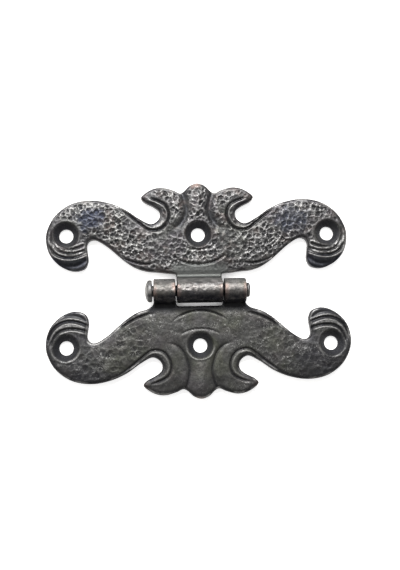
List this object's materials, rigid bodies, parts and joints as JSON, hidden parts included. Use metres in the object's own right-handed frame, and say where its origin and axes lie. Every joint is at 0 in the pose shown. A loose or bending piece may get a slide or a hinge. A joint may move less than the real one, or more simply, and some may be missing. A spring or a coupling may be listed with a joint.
{
  "type": "door hinge",
  "caption": "Ornamental surface-mount butterfly hinge: two scrolled, hammered cast leaves with countersunk screw holes, joined by a captive headed pin.",
  "frame": {"origin": "on the plane of the flat backs (the woodwork's face), straight behind the middle of the pin", "axes": "+X along the pin towards its peened tail, +Y towards the upper leaf (the one with the middle knuckle), +Z out of the decorated faces"},
  "size_m": [0.089, 0.0634, 0.0073],
  "materials": {
    "upper_cast": "hammered, blackened over copper, rubbed back to a grey pewter sheen with copper wear at the tips",
    "lower_cast": "lightly dimpled, blackened over copper, mottled grey-green sheen",
    "pin_steel": "dull grey steel, darkened"
  },
  "bodies": {
    "lower_leaf": {"lower_leaf": "lower_cast"},
    "upper_leaf": {"upper_leaf": "upper_cast"},
    "pin": {"hinge_pin": "pin_steel"}
  },
  "joints": [
    {"name": "leaf_swing", "type": "hinge", "parent": "lower_leaf", "child": "upper_leaf", "pos_m": [0, 0, 0.00375], "axis": [1, 0, 0], "range_deg": [-90, 180]},
    {"name": "pin_turn", "type": "hinge", "parent": "lower_leaf", "child": "pin", "pos_m": [0, 0, 0.00375], "axis": [1, 0, 0], "continuous": true}
  ]
}
